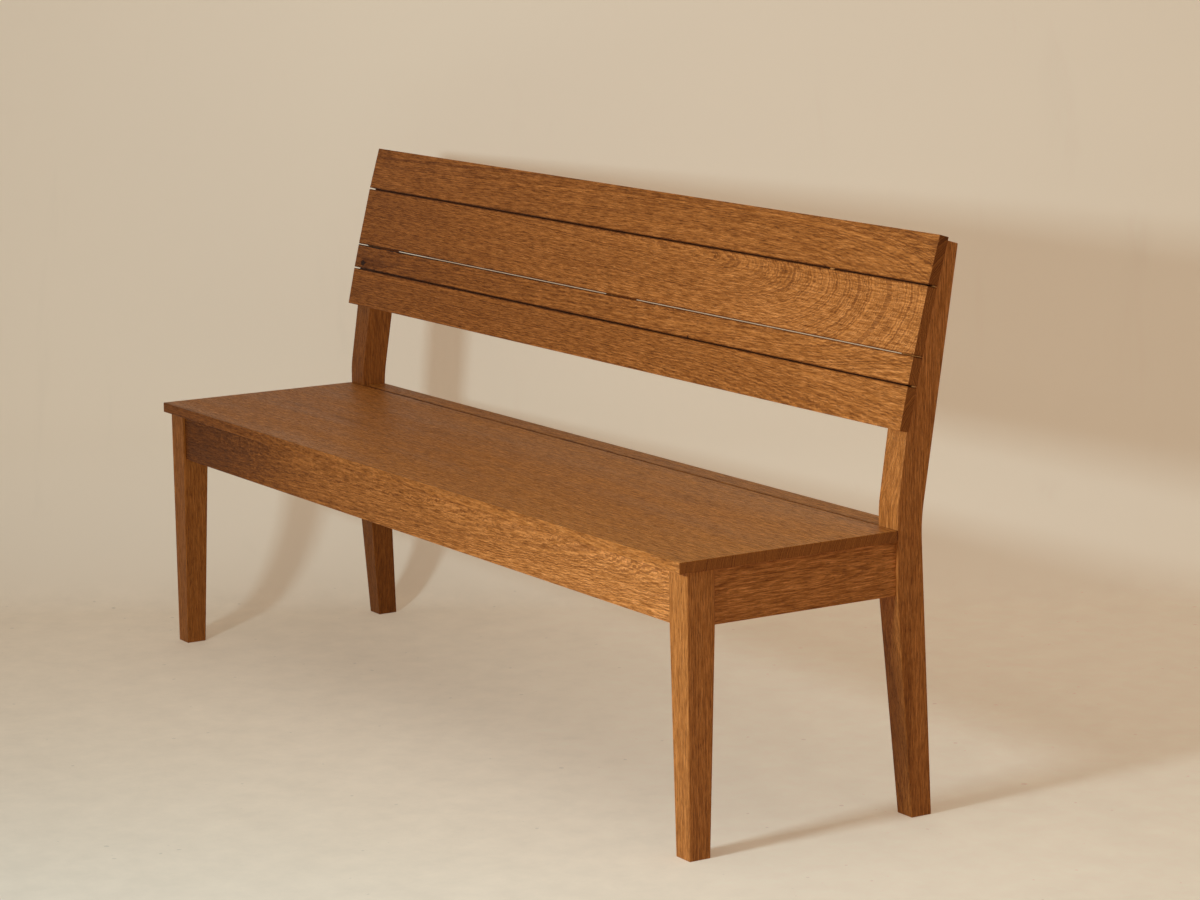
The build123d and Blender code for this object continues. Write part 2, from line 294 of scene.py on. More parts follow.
def build_board_frame():
    """A board's own axes: X along its grain, from the board's middle."""
    tree, given, end = group(
        "Board frame",
        [("Middle", "Vector", None), ("Turn", "Vector", None)],
        [("Position", "Vector"), ("Facing", "Vector")],
    )
    place = add(tree, "ShaderNodeTexCoord").outputs
    feeds = {"Vector": place["Object"], "Location": given["Middle"], "Rotation": given["Turn"]}
    position = add(tree, "ShaderNodeMapping", feeds, vector_type="TEXTURE").outputs[0]
    feeds = {"Vector": place["Normal"], "Rotation": given["Turn"]}
    facing = add(tree, "ShaderNodeMapping", feeds, vector_type="TEXTURE").outputs[0]
    give(tree, end, Position=position, Facing=facing)


# Each noise below is given by its features per metre, along the grain and twice across it,
# and by its number of finer layers; a third value says how strong those layers are.

# Shared effects: marks

# The noise at a mark's ragged edge, and how strongly it moves the edge.
RAGGED = ((90.0, 400.0, 400.0), 2.0)
RAGGED_REACH = 1.2
# A mark is whole out to this share of its reach.
MARK_CORE_SHARE = 0.4


def build_mark():
    """An oval mark with a soft and slightly ragged edge."""
    tree, given, end = group(
        "Mark",
        [("Position", "Vector", None), ("Centre", "Vector", None), ("Reach", "Vector", None)],
        [("Mask", "Float")],
    )
    offset = vector(tree, "SUBTRACT", given["Position"], given["Centre"])
    offset = vector(tree, "DIVIDE", offset, given["Reach"])
    distance = length(tree, offset)
    ragged = swing(tree, given["Position"], *RAGGED)
    distance = scale_add(tree, ragged, RAGGED_REACH, distance)
    give(tree, end, Mask=ramp(tree, distance, MARK_CORE_SHARE, 1.0, 1.0, 0.0))


# Shared effects: growth rings

# One step of seed moves a board through its noise by this much, in metres.
RING_SEED_STEP = (7.3, 3.1, 5.7)
# From this far along a board the pith bows away from its face, in metres.
BOW_START = 0.15
# A ring's radius is measured across the grain only.
ACROSS_ONLY = (0, 1, 1)
# The rings' slow wave and their fine ripple.
WAVES = ((3.4, 16.0, 16.0), 1.0)
RIPPLES = ((95.0, 130.0, 130.0), 1.0)
# The noise swings by less than a quarter either way, so this brings it near its full reach.
FULL_SWING = 4.0
# Good and poor years come and go this many times per metre, and shift a ring by this many years.
YEARS_SCALE = 90.0
YEARS_SHIFT = 3.0
# Shares of a year over which the porous band begins, and over which it ends.
BAND_BEGINS_SHARES = (0.0, 0.18)
BAND_ENDS_SHARES = (0.50, 0.92)


def build_growth_rings():
    """Growth rings as wavy cones round a pith that runs beside the board."""
    tree, given, end = group(
        "Growth rings",
        [("Position", "Vector", None), ("Seed", "Float", 0.0), ("Pith", "Vector", None),
         ("Drift", "Vector", None), ("Bow", "Float", 0.0), ("Ring Width", "Float", 0.0026),
         ("Wave", "Float", 0.003), ("Ripple", "Float", 0.0006), ("Push", "Float", 0.0)],
        [("Early", "Float"), ("Year Tone", "Float"), ("Ring Place", "Vector")],
    )
    seed_shift = scaled(tree, RING_SEED_STEP, given["Seed"])
    place = vector(tree, "ADD", given["Position"], seed_shift)

    # The pith drifts and bows away from the board, which draws the pointed arches on its face.
    along = split(tree, given["Position"])[0]
    centre = vector(tree, "ADD", given["Pith"], scaled(tree, given["Drift"], along))
    past = calc(tree, "MAXIMUM", calc(tree, "SUBTRACT", along, BOW_START), 0.0)
    bow = times(tree, given["Bow"], times(tree, past, past))
    centre = vector(tree, "ADD", centre, join(tree, y=bow))
    from_pith = vector(tree, "SUBTRACT", given["Position"], centre)
    from_pith = vector(tree, "MULTIPLY", from_pith, ACROSS_ONLY)
    radius = length(tree, from_pith)

    wave = swing(tree, place, *WAVES)
    ripple = swing(tree, place, *RIPPLES)
    warped = scale_add(tree, wave, times(tree, given["Wave"], FULL_SWING), radius)
    warped = scale_add(tree, ripple, times(tree, given["Ripple"], FULL_SWING), warped)
    warped = calc(tree, "ADD", warped, given["Push"])

    # Good and poor years differ in width and in tone.
    feeds = {"W": warped, "Scale": YEARS_SCALE, "Detail": 1.0}
    rhythm = add(tree, "ShaderNodeTexNoise", feeds, noise_dimensions="1D").outputs[0]
    even_years = calc(tree, "DIVIDE", warped, given["Ring Width"])
    years = scale_add(tree, rhythm, YEARS_SHIFT, even_years)
    part = calc(tree, "FRACT", years)
    begins = ramp(tree, part, *BAND_BEGINS_SHARES)
    early = times(tree, begins, ramp(tree, part, *BAND_ENDS_SHARES, 1.0, 0.0))
    year = calc(tree, "ADD", calc(tree, "FLOOR", years), given["Seed"])
    tone = add(tree, "ShaderNodeTexWhiteNoise", {"W": year}, noise_dimensions="1D").outputs[0]

    _, aside, above = split(tree, from_pith)
    angle = calc(tree, "ARCTAN2", aside, above)
    ring_place = join(tree, along, warped, angle)
    give(tree, end, Early=early, Year_Tone=tone, Ring_Place=ring_place)


# Shared effects: oiled oak

# One step of seed moves a board through its noise by this much, in metres.
OAK_SEED_STEP = (2.9, 6.1, 4.3)
FIBRES = ((34.0, 350.0, 350.0), 3.0, 0.68)
LINES = ((7.0, 190.0, 190.0), 2.0, 0.6)
CLOUDS = ((1.6, 16.0, 16.0), 2.0)
STREAKS = ((1.0, 60.0, 60.0), 2.0)
PORES = ((95.0, 1500.0, 1500.0), 1.0)
# The rays' features lie along the grain, across the rings and round the pith.
RAYS = ((60.0, 150.0, 170.0), 1.0)
# Between these values of its noise each effect comes in.
RAY_LEVELS = (0.58, 0.70)
STREAK_LEVELS = (0.58, 0.72)
PORE_LEVELS = (0.56, 0.64)
# A factor and a base turn the noise into a shade of about 1.
FIBRE_SHADE = (2.4, -0.20)
LINE_SHADE = (0.34, 0.83)
CLOUD_SHADE = (0.36, 0.82)
# A factor and a base: most of the open pores lie in the early wood.
PORES_IN_EARLY = (0.75, 0.25)
# A factor and a base: the bands of some years are paler.
BAND_IN_YEAR = (1.0, 0.45)
# How much of its own colour each effect mixes in.
RAY_MIX = 0.28
PORE_MIX = 0.55
STREAK_MIX = 0.28
# From the first to the second a face turns into end grain; 1 looks straight along the grain.
END_FACING = (0.6, 0.95)
# What end grain adds to its bands, its contrast, its light and its roughness.
END_BANDS = 0.8
END_CONTRAST = -0.75
END_LIGHT = -0.21
END_ROUGHNESS = 0.15
# Figures from the first to the second value have contrasts from the third to the fourth.
CALM_FIGURE = (0.25, 0.40, 0.60, 1.0)
DARKEST_SHADE = 0.05
# Where the wood is darker it takes more of the green and most of the blue.
GREEN_POWER = 1.27
BLUE_POWER = 1.90
PORE_ROUGHNESS = 0.25
CLOUD_ROUGHNESS = 0.30
# Heights, of which the bump in the material makes metres.
PORE_HEIGHT = -0.8
FIBRE_HEIGHT = 0.35
EARLY_HEIGHT = -0.25


def build_oak():
    """Colour, roughness and height of oiled oak from its rings, rays, fibres and pores."""
    tree, given, end = group(
        "Oiled oak",
        [("Position", "Vector", None), ("Facing", "Vector", None), ("Early", "Float", 0.0),
         ("Year Tone", "Float", 0.5), ("Ring Place", "Vector", None), ("Seed", "Float", 0.0),
         ("Figure", "Float", 1.0), ("Tone", "Float", 1.0), ("Fade", "Float", 0.0),
         ("Roughness", "Float", 0.46), ("Latewood", "Color", None), ("Earlywood", "Color", None),
         ("Ray", "Color", None), ("Pore", "Color", None)],
        [("Color", "Color"), ("Roughness", "Float"), ("Height", "Float")],
    )
    early = given["Early"]
    seed_shift = scaled(tree, OAK_SEED_STEP, given["Seed"])
    place = vector(tree, "ADD", given["Position"], seed_shift)

    # Rays are thin sheets along the grain and across the rings.
    ring_place = vector(tree, "ADD", given["Ring Place"], seed_shift)
    ray = ramp(tree, noise(tree, ring_place, *RAYS), *RAY_LEVELS)

    fibre = noise(tree, place, *FIBRES)
    line = noise(tree, place, *LINES)
    cloud = noise(tree, place, *CLOUDS)
    streak = ramp(tree, noise(tree, place, *STREAKS), *STREAK_LEVELS)
    pore = ramp(tree, noise(tree, place, *PORES), *PORE_LEVELS)
    open_pore = times(tree, pore, scale_add(tree, early, *PORES_IN_EARLY))

    facing = split(tree, given["Facing"])[0]
    end_grain = ramp(tree, calc(tree, "ABSOLUTE", facing), *END_FACING)
    band = times(tree, early, given["Figure"])
    band = times(tree, band, scale_add(tree, end_grain, END_BANDS, 1.0))
    in_year = scale_add(tree, given["Year Tone"], *BAND_IN_YEAR)
    band = calc(tree, "MULTIPLY", band, in_year, clamp=True)
    colour = mix(tree, band, given["Latewood"], given["Earlywood"])
    colour = mix(tree, times(tree, ray, RAY_MIX), colour, given["Ray"])
    colour = mix(tree, times(tree, open_pore, PORE_MIX), colour, given["Pore"])
    colour = mix(tree, times(tree, streak, STREAK_MIX), colour, given["Earlywood"])

    # The tone and its change along the board carry painted shade as well as the board's own
    # lightness.
    along = split(tree, given["Position"])[0]
    shade = scale_add(tree, along, given["Fade"], given["Tone"])
    grain = scale_add(tree, fibre, *FIBRE_SHADE)
    grain = times(tree, grain, scale_add(tree, line, *LINE_SHADE))
    grain = times(tree, grain, scale_add(tree, cloud, *CLOUD_SHADE))
    # Straight-grained legs and posts are calmer than the wide boards.
    contrast = scale_add(tree, end_grain, END_CONTRAST, 1.0)
    contrast = times(tree, contrast, ramp(tree, given["Figure"], *CALM_FIGURE))
    grain = scale_add(tree, calc(tree, "SUBTRACT", grain, 1.0), contrast, 1.0)
    shade = times(tree, shade, grain)
    shade = times(tree, shade, scale_add(tree, end_grain, END_LIGHT, 1.0))
    shade = calc(tree, "MAXIMUM", shade, DARKEST_SHADE)
    green = calc(tree, "POWER", shade, GREEN_POWER)
    blue = calc(tree, "POWER", shade, BLUE_POWER)
    colour = vector(tree, "MULTIPLY", colour, join(tree, shade, green, blue))

    roughness = scale_add(tree, open_pore, PORE_ROUGHNESS, given["Roughness"])
    cloudy = calc(tree, "SUBTRACT", cloud, NOISE_MIDDLE)
    roughness = scale_add(tree, cloudy, CLOUD_ROUGHNESS, roughness)
    roughness = scale_add(tree, end_grain, END_ROUGHNESS, roughness, clamp=True)
    height = times(tree, fibre, FIBRE_HEIGHT)
    height = scale_add(tree, open_pore, PORE_HEIGHT, height)
    height = scale_add(tree, early, EARLY_HEIGHT, height)
    give(tree, end, Color=colour, Roughness=roughness, Height=height)


# Boards

# Turns of a board's own frame, whose X follows the grain.
GRAIN_X = (0.0, 0.0, 0.0)
GRAIN_Y = (0.0, 0.0, math.radians(90))
GRAIN_Z = (0.0, math.radians(-90), 0.0)


def leaning(degrees):
    """Turn of a slat's frame: Y goes into the slat from its front, Z up its face."""
    return (math.radians(-degrees), 0.0, 0.0)


class Board(NamedTuple):
    """How one board was cut from its tree, and how it took the oil.

    turn is the turn of the board's own frame, and seed gives it a figure of its own. pith is
    where the pith lies across Y and Z in metres, drift how far it runs aside per metre, and
    bow how strongly it bows. wave and ripple are the slow and the fine wander of the rings in
    metres, and figure is their strength. tone is the board's lightness, partly its own and
    partly painted shade: it is lower on the boards at the left end, away from the key lamp.
    The last value is the change in lightness per metre to the right or upward, a painted
    shade that deepens towards the left end and down the legs and posts.
    """

    turn: tuple
    seed: int
    pith: tuple = (0.05, 0.03)
    drift: tuple = (0.0, 0.0)
    bow: float = 0.0
    wave: float = 0.002
    ripple: float = 0.0006
    figure: float = 0.6
    tone: float = 1.0
    fade: float = 0.0


# Steps between the boards' seeds, so that no two boards share their figure.
SEED_STEP = 3.7

# Lower tones on the boards at the left end, and the falls in lightness to the left and downward,
# are painted shade.
BOARDS = {
    "back_slat_1": Board(
        leaning(16.5), 1, pith=(0.050, -0.100), drift=(0.010, 0.030), bow=0.10,
        wave=0.003, ripple=0.0008, tone=0.85, fade=0.07),
    "back_slat_2": Board(
        leaning(14.4), 2, pith=(-0.004, 0.052), drift=(0.0, -0.030), bow=0.35,
        ripple=0.0013, figure=0.62, tone=0.95, fade=0.26),
    "back_slat_3": Board(
        leaning(13.7), 3, pith=(0.060, 0.050), drift=(0.010, 0.010), bow=0.05,
        wave=0.003, ripple=0.0008, figure=0.55, tone=0.86, fade=0.29),
    "back_slat_4": Board(
        leaning(12.45), 4, pith=(0.070, -0.080), drift=(0.020, 0.020), bow=0.05,
        wave=0.003, ripple=0.0008, figure=0.55, tone=0.865, fade=0.20),
    "centre_upright": Board(
        GRAIN_Z, 5, pith=(0.06, 0.03), drift=(0.02, 0.01), figure=0.5, tone=0.70),
    "front_leg_left": Board(
        GRAIN_Z, 6, pith=(0.08, 0.05), drift=(0.01, 0.01),
        ripple=0.0005, figure=0.3, tone=0.76, fade=0.1),
    "front_leg_right": Board(
        GRAIN_Z, 7, pith=(-0.09, 0.05), drift=(0.01, 0.01),
        ripple=0.0005, figure=0.3, tone=1.05, fade=0.1),
    "rear_post_left": Board(
        GRAIN_Z, 8, pith=(0.09, -0.06), drift=(0.01, 0.01),
        ripple=0.0005, figure=0.3, tone=0.65, fade=0.34),
    "rear_post_right": Board(
        GRAIN_Z, 9, pith=(0.10, 0.06), drift=(0.01, 0.01),
        ripple=0.0005, figure=0.3, tone=1.06, fade=0.42),
    "front_rail": Board(
        GRAIN_X, 10, pith=(0.05, 0.04), drift=(0.02, 0.03), bow=0.05,
        wave=0.003, ripple=0.001, figure=0.62, tone=1.01, fade=0.46),
    "rear_rail": Board(
        GRAIN_X, 11, pith=(0.06, -0.03), drift=(0.02, 0.02), wave=0.003, figure=0.5, tone=0.90),
    "side_rail_left": Board(
        GRAIN_Y, 12, pith=(0.03, 0.01), drift=(0.10, 0.01), tone=0.90),
    "side_rail_right": Board(
        GRAIN_Y, 13, pith=(-0.02, 0.005), drift=(-0.10, 0.01), figure=0.37, tone=1.15),
    "seat_board": Board(
        GRAIN_X, 14, pith=(0.30, -0.10), drift=(0.02, 0.02),
        wave=0.003, figure=0.40, tone=0.915, fade=0.14),
    "seat_rear_strip": Board(
        GRAIN_X, 15, pith=(0.10, 0.06), drift=(0.02, 0.02),
        wave=0.003, figure=0.5, tone=0.90, fade=0.10),
    # The tongues' low tone makes them nearly black: painted shade deep in the slat joints.
    "upper_slat_tongue": Board(leaning(15.5), 16, figure=0.5, tone=0.12),
    "lower_slat_tongue": Board(leaning(13.1), 17, figure=0.5, tone=0.12),
    "seat_bearer_left": Board(GRAIN_Y, 18, drift=(0.02, 0.0), wave=0.003, tone=0.97),
    "seat_bearer_middle": Board(
        GRAIN_Y, 19, pith=(0.06, 0.02), drift=(0.02, 0.0), wave=0.003, tone=0.93),
    "seat_bearer_right": Board(
        GRAIN_Y, 20, pith=(0.04, 0.04), drift=(0.02, 0.0), wave=0.003),
    "corner_block_front_left": Board(GRAIN_X, 21, tone=0.95),
    "corner_block_front_right": Board(GRAIN_X, 22),
    "corner_block_rear_left": Board(GRAIN_X, 23, tone=0.92),
    "corner_block_rear_right": Board(GRAIN_X, 24, tone=0.98),
    "seat_buttons": Board(GRAIN_X, 25, tone=0.98),
    "slat_dowels": Board(GRAIN_Y, 26, tone=0.98),
    "strip_dowels": Board(GRAIN_Z, 27, tone=0.98),
}

# A painted sheen tints the upward faces of the seat and its strip a little.
PAINTED_SHEEN_BOARDS = ("seat_board", "seat_rear_strip")
PAINTED_SHEEN_TINT = (0.990, 1.09, 1.02)
# From the first to the second a face looks up enough for it; 1 looks straight up.
UPWARD_FACING = (0.5, 0.9)


# Marks on the boards, real ones and painted shade and light, each with its place in the board's
# own frame

class Mark(NamedTuple):
    """A mark's centre and reach in metres, and by how much it lightens the board."""

    centre: tuple
    reach: tuple
    change: float


# A reach past the end of any board.
ENDLESS = 9.0
# From the middle of a board of the seat or the back to its face.
HALF_BOARD = 0.009
KNOT = (-0.869, -HALF_BOARD, -0.012)
# How far up or down a slat the painted shade of a joint reaches, and its change: usually, and at
# its darkest.
JOINT_SHADE = (0.0022, -0.45)
DARK_JOINT_SHADE = (0.0026, -0.60)
SEAT_JOINT_SHADE_REACH = (ENDLESS, 0.0045, 0.03)


def slat_joint_shade(edge, reach, change):
    """Painted shade in a joint along the edge of a slat, at that height on its face."""
    return Mark((0.0, 0.0, edge), (ENDLESS, ENDLESS, reach), change)


def seat_joint_shade(edge, change):
    """Painted shade in the joint between the seat and its strip, at that depth."""
    return Mark((0.0, edge, HALF_BOARD), SEAT_JOINT_SHADE_REACH, change)


MARKS_AND_PAINTED_LIGHT = {
    "back_slat_1": [slat_joint_shade(-0.0391, *JOINT_SHADE)],
    "back_slat_2": [slat_joint_shade(0.0542, *JOINT_SHADE), slat_joint_shade(-0.0542, *DARK_JOINT_SHADE)],
    # The knot, the darker wood beside it, and a tick in the lower edge.
    "back_slat_3": [
        Mark(KNOT, (0.012, 0.020, 0.007), -0.50),
        Mark((-0.840, -HALF_BOARD, -0.010), (0.085, 0.020, 0.013), -0.20),
        Mark((0.2846, -HALF_BOARD, -0.0215), (0.003, 0.004, 0.005), -0.60),
        slat_joint_shade(0.0223, *DARK_JOINT_SHADE),
        slat_joint_shade(-0.0223, *JOINT_SHADE),
    ],
    "back_slat_4": [slat_joint_shade(0.0349, *JOINT_SHADE)],
    # A painted fleck of light, where light shows through the joint.
    "upper_slat_tongue": [Mark((0.640, 0.0, 0.0), (0.008, 0.02, 0.02), 1.60)],
    # Painted shade in the joint, painted shade on the front edge that deepens to the left, a pale
    # scratch, a patch, three streaks.
    "seat_board": [
        seat_joint_shade(0.203, -0.50),
        Mark((-0.90, -0.203, 0.0), (0.80, 0.012, 0.02), -0.34),
        Mark((0.698, -0.088, HALF_BOARD), (0.012, 0.003, 0.01), 0.25),
        Mark((0.50, 0.090, HALF_BOARD), (0.11, 0.030, 0.01), -0.10),
        Mark((-0.70, -0.003, HALF_BOARD), (0.11, 0.012, 0.01), -0.14),
        Mark((-0.52, -0.010, HALF_BOARD), (0.10, 0.010, 0.01), -0.14),
        Mark((-0.30, 0.060, HALF_BOARD), (0.12, 0.016, 0.01), -0.10),
    ],
    "seat_rear_strip": [seat_joint_shade(-0.0215, -0.45)],
    # Painted shade: the rail darkens to the left, away from the key lamp.
    "front_rail": [Mark((-0.90, 0.0, 0.0), (0.56, ENDLESS, ENDLESS), -0.29)],
    # Painted shade darkens the front of the left post above its middle, and a painted shadow of
    # the front leg darkens that of the right one below it.
    "rear_post_left": [Mark((0.15, -0.058, 0.0), (0.30, 0.024, 0.10), -0.10)],
    "rear_post_right": [Mark((-0.34, -0.045, 0.0), (0.27, 0.024, 0.10), -0.31)],
}

# The rings swirl round the knot; here the change is how far they are pushed, in metres.
SWIRLS = {"back_slat_3": Mark(KNOT, (0.100, 0.030, 0.030), 0.014)}

GRAIN_RELIEF = 0.8
OIL_IOR = 1.47
# The oil is matt, with about a third of the shine that its index would give.
OIL_SPECULAR = 0.16


def oak_material(node):
    """The oiled oak of one board, in that board's own frame."""
    board = BOARDS[node]
    oak = bpy.context.scene.settle_oak
    low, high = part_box(node)
    middle = (Vector(low) + Vector(high)) / 2
    material = bpy.data.materials.new("oiled_oak_" + node)
    material.use_nodes = True
    tree = material.node_tree
    shader = tree.nodes["Principled BSDF"]
    own = use(tree, "Board frame", {"Middle": middle, "Turn": board.turn})
    tone = board.tone
    # Each mark changes the tone: the wood's own marks, painted shade, and a painted fleck of
    # light.
    for centre, reach, change in MARKS_AND_PAINTED_LIGHT.get(node, ()):
        mark = use(tree, "Mark", {"Position": own["Position"], "Centre": centre, "Reach": reach})
        tone = scale_add(tree, mark["Mask"], change, tone)
    push = 0.0
    if node in SWIRLS:
        centre, reach, change = SWIRLS[node]
        swirl = use(tree, "Mark", {"Position": own["Position"], "Centre": centre, "Reach": reach})
        push = times(tree, swirl["Mask"], change)
    rings = use(tree, "Growth rings", {
        "Position": own["Position"],
        "Seed": board.seed * SEED_STEP,
        "Pith": (0.0, *board.pith),
        "Drift": (0.0, *board.drift),
        "Bow": board.bow,
        "Ring Width": oak.ring_width,
        "Wave": board.wave,
        "Ripple": board.ripple,
        "Push": push,
    })
    wood = use(tree, "Oiled oak", {
        "Position": own["Position"],
        "Facing": own["Facing"],
        "Early": rings["Early"],
        "Year Tone": rings["Year Tone"],
        "Ring Place": rings["Ring Place"],
        "Seed": board.seed * SEED_STEP,
        "Figure": board.figure,
        "Tone": tone,
        "Fade": board.fade,
        "Roughness": oak.roughness,
        "Latewood": (*oak.latewood, 1.0),
        "Earlywood": (*oak.earlywood, 1.0),
        "Ray": (*oak.ray, 1.0),
        "Pore": (*oak.pore, 1.0),
    })
    feeds = {"Height": wood["Height"], "Distance": oak.pore_depth, "Strength": GRAIN_RELIEF}
    bump = add(tree, "ShaderNodeBump", feeds)
    colour = wood["Color"]
    # Painted sheen on the faces that look up.
    if node in PAINTED_SHEEN_BOARDS:
        upward = split(tree, own["Facing"])[2]
        painted_sheen = vector(tree, "MULTIPLY", colour, PAINTED_SHEEN_TINT)
        colour = mix(tree, ramp(tree, upward, *UPWARD_FACING), colour, painted_sheen)
    tree.links.new(colour, shader.inputs["Base Color"])
    tree.links.new(wood["Roughness"], shader.inputs["Roughness"])
    tree.links.new(bump.outputs[0], shader.inputs["Normal"])
    shader.inputs["IOR"].default_value = OIL_IOR
    shader.inputs["Specular IOR Level"].default_value = OIL_SPECULAR
    return material


# Screws

BRIGHT_STEEL = (0.62, 0.61, 0.58, 1.0)
DULL_STEEL = (0.42, 0.40, 0.36, 1.0)
# Turning marks and patches of tarnish, per metre in X, Y and Z.
TURNING = ((400.0, 400.0, 2600.0), 2.0)
TARNISH = ((180.0, 180.0, 180.0), 3.0)
TARNISH_LEVELS = (0.4, 0.7)
# Turning marks from the first to the second value are as rough as the third to the fourth.
STEEL_ROUGHNESS = (0.3, 0.7, 0.28, 0.5)
TURNING_DEPTH = 0.0001
TURNING_RELIEF = 0.6


def steel_material():
    """Turned and zinc-plated screw steel."""
    material = bpy.data.materials.new("screw_steel")
    material.use_nodes = True
    tree = material.node_tree
    shader = tree.nodes["Principled BSDF"]
    place = add(tree, "ShaderNodeTexCoord").outputs["Object"]
    turning = noise(tree, place, *TURNING)
    tarnish = ramp(tree, noise(tree, place, *TARNISH), *TARNISH_LEVELS)
    colour = mix(tree, tarnish, BRIGHT_STEEL, DULL_STEEL)
    tree.links.new(colour, shader.inputs["Base Color"])
    tree.links.new(ramp(tree, turning, *STEEL_ROUGHNESS), shader.inputs["Roughness"])
    feeds = {"Height": turning, "Distance": TURNING_DEPTH, "Strength": TURNING_RELIEF}
    bump = add(tree, "ShaderNodeBump", feeds)
    tree.links.new(bump.outputs[0], shader.inputs["Normal"])
    shader.inputs["Metallic"].default_value = 1.0
    return material


def dress(node, material):
    """Puts one material on every slot of a node."""
    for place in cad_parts[node].material_slots:
        place.material = material


def dress_in_oak(*nodes):
    """Gives each node an oiled oak of its own."""
    for node in nodes:
        dress(node, oak_material(node))


# Stage: where the camera stands and looks, in radians and metres

VIEW_AZIMUTH = math.radians(58.0948)
VIEW_ELEVATION = math.radians(10.3118)
VIEW_ROLL = math.radians(-0.8209)
CAMERA_PLACE = (5.23472, -3.09755, 1.58150)
CLIP_END = 60.0
# The width of the camera's sensor in millimetres.
SENSOR_WIDTH = 36.0

# Stage: lamps, in metres, and the light of the room

KEY_PLACE = (1.018, -2.591, 1.351)
KEY_AIM = (1.7, 0.0, 0.4)
KEY_SIZE = (0.42, 0.20)
KEY_COLOUR = (0.65, 0.88, 1.0)
TOP_PLACE = (0.4, -0.8, 3.2)
TOP_AIM = (0.0, 0.0, 0.3)
TOP_SIZE = (2.4, 2.4)
TOP_COLOUR = (1.0, 0.96, 0.90)
ROOM_COLOUR = (1.0, 0.90, 0.78, 1.0)

# Stage: the backdrop, in metres

BACKDROP_REACH = 30.0
WALL_HEIGHT = 4.5
COVE_STRIPS = 24
# The floor behind the wall lies this much lower.
FLOOR_STEP = 0.001

# Marks of the paint, per metre in X, Y and Z; a fourth value distorts the smudges.
PAINT_CLOUDS = ((1.6, 1.6, 1.6), 3.0)
SMUDGES = ((9.0, 9.0, 2.0), 4.0, 0.6, 0.6)
SPECKS = ((60.0, 60.0, 60.0), 0.0)
WEAR = ((14.0, 14.0, 14.0), 5.0, 0.7)
# Between these values of its noise each effect comes in.
SMUDGE_LEVELS = (0.60, 0.78)
SPECK_LEVELS = (0.83, 0.87)
# A factor and a base turn the clouds into a shade of about 1.
PAINT_CLOUD_SHADE = (0.04, 0.98)
# What a smudge, a speck and the wear add to the shade.
SMUDGE_LIGHT = -0.03
SPECK_LIGHT = -0.16
WEAR_LIGHT = 0.22
# Specks and wear end at this height.
WEAR_TOP = 0.05
# Painted shade round the point of the floor under the key lamp: distances from that point, and the
# tones there.
KEY_SHADE_TONES = (0.6, 2.8, 0.72, 1.0)
# Painted shade darkens the backdrop's left side: heights, and the tones of that side at them.
PAINTED_LEFT_SHADES = (0.0, 0.4, 0.79, 0.90)
RIGHT_TONE = 1.02
# Places across the view where the tone at the left ends and the tone at the right begins.
LEFT_TO_RIGHT = (-1.3, 0.9)
# Clouds from the first to the second value are as rough as the third to the fourth.
PAINT_ROUGHNESS = (0.3, 0.7, 0.75, 0.9)
# Light that the backdrop adds where it is seen; its shaded parts look warmer than its lit ones.
GLOW = 0.26
GLOW_TINT = (1.144, 1.0, 0.807)


def make_backdrop(sizes):
    """A seamless floor that sweeps up into a wall behind the bench."""
    turn = VIEW_AZIMUTH + sizes.wall_turn
    away = Vector((-math.sin(turn), math.cos(turn), 0.0))
    across = Vector((math.cos(turn), math.sin(turn), 0.0))
    radius = sizes.cove_radius
    wall = sizes.wall_distance
    profile = [(-BACKDROP_REACH, 0.0)]
    for strip in range(COVE_STRIPS + 1):
        rise = math.radians(90.0 * strip / COVE_STRIPS)
        profile.append((wall - radius + radius * math.sin(rise), radius - radius * math.cos(rise)))
    profile.append((wall, WALL_HEIGHT))
    floor_behind = [(wall - radius, -FLOOR_STEP), (BACKDROP_REACH, -FLOOR_STEP)]
    corners = [away * far + across * side + Vector((0.0, 0.0, up))
               for far, up in profile + floor_behind
               for side in (-BACKDROP_REACH, BACKDROP_REACH)]
    # A strip of floor or wall starts at each point but the last, and one more lies behind.
    starts = list(range(len(profile) - 1)) + [len(profile)]
    faces = [(2 * n, 2 * n + 1, 2 * n + 3, 2 * n + 2) for n in starts]
    mesh = bpy.data.meshes.new("backdrop")
    mesh.from_pydata(corners, [], faces)
    for face in mesh.polygons:
        face.use_smooth = True
    backdrop = bpy.data.objects.new("backdrop", mesh)
    bpy.context.scene.collection.objects.link(backdrop)
    mesh.materials.append(backdrop_material(sizes))


